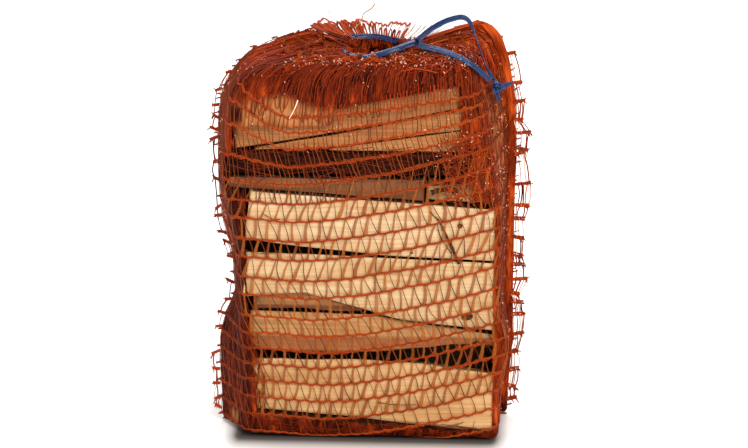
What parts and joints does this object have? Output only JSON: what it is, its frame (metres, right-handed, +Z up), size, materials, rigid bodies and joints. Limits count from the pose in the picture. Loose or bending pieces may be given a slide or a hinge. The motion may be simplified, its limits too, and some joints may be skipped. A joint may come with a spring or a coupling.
{
  "type": "bag of kindling",
  "caption": "Split kindling sticks stacked in a knitted net sack with side seams and a gathered mouth, closed with a flat drawstring tape tied at one corner.",
  "frame": {"origin": "middle of the footprint, on the surface that the bag stands on", "axes": "+Z up, +X along the sticks towards the end with the tied drawstring, -Y the front"},
  "size_m": [0.25, 0.125, 0.3309],
  "materials": {
    "split_wood": "rough split softwood",
    "bark": "rough dark bark and weathered wood",
    "net": "knitted polyethylene tape, slightly glossy",
    "tape": "thin glossy film tape"
  },
  "bodies": {
    "root": {"kindling_floor_front": "bark", "kindling_front_bottom": "split_wood", "kindling_front_low": "split_wood", "kindling_wedge": "split_wood", "kindling_front_middle": "split_wood", "kindling_front_upper": "split_wood", "kindling_shaded": "split_wood", "kindling_offcut": "split_wood", "kindling_bark_front": "bark", "kindling_fan_lower": "split_wood", "kindling_fan_middle": "split_wood", "kindling_fan_upper": "split_wood", "kindling_middle_1": "split_wood", "kindling_middle_2": "split_wood", "kindling_middle_3": "bark", "kindling_middle_4": "split_wood", "kindling_middle_5": "split_wood", "kindling_middle_6": "split_wood", "kindling_middle_7": "split_wood", "kindling_back_1": "split_wood", "kindling_back_2": "bark", "kindling_back_3": "split_wood", "kindling_back_4": "split_wood", "kindling_back_5": "split_wood", "kindling_back_6": "split_wood", "kindling_back_7": "split_wood", "net_sack": "net", "drawstring_hem": "tape", "drawstring_strand_upper": "tape", "drawstring_strand_lower": "tape", "drawstring_knot": "tape"}
  },
  "joints": []
}
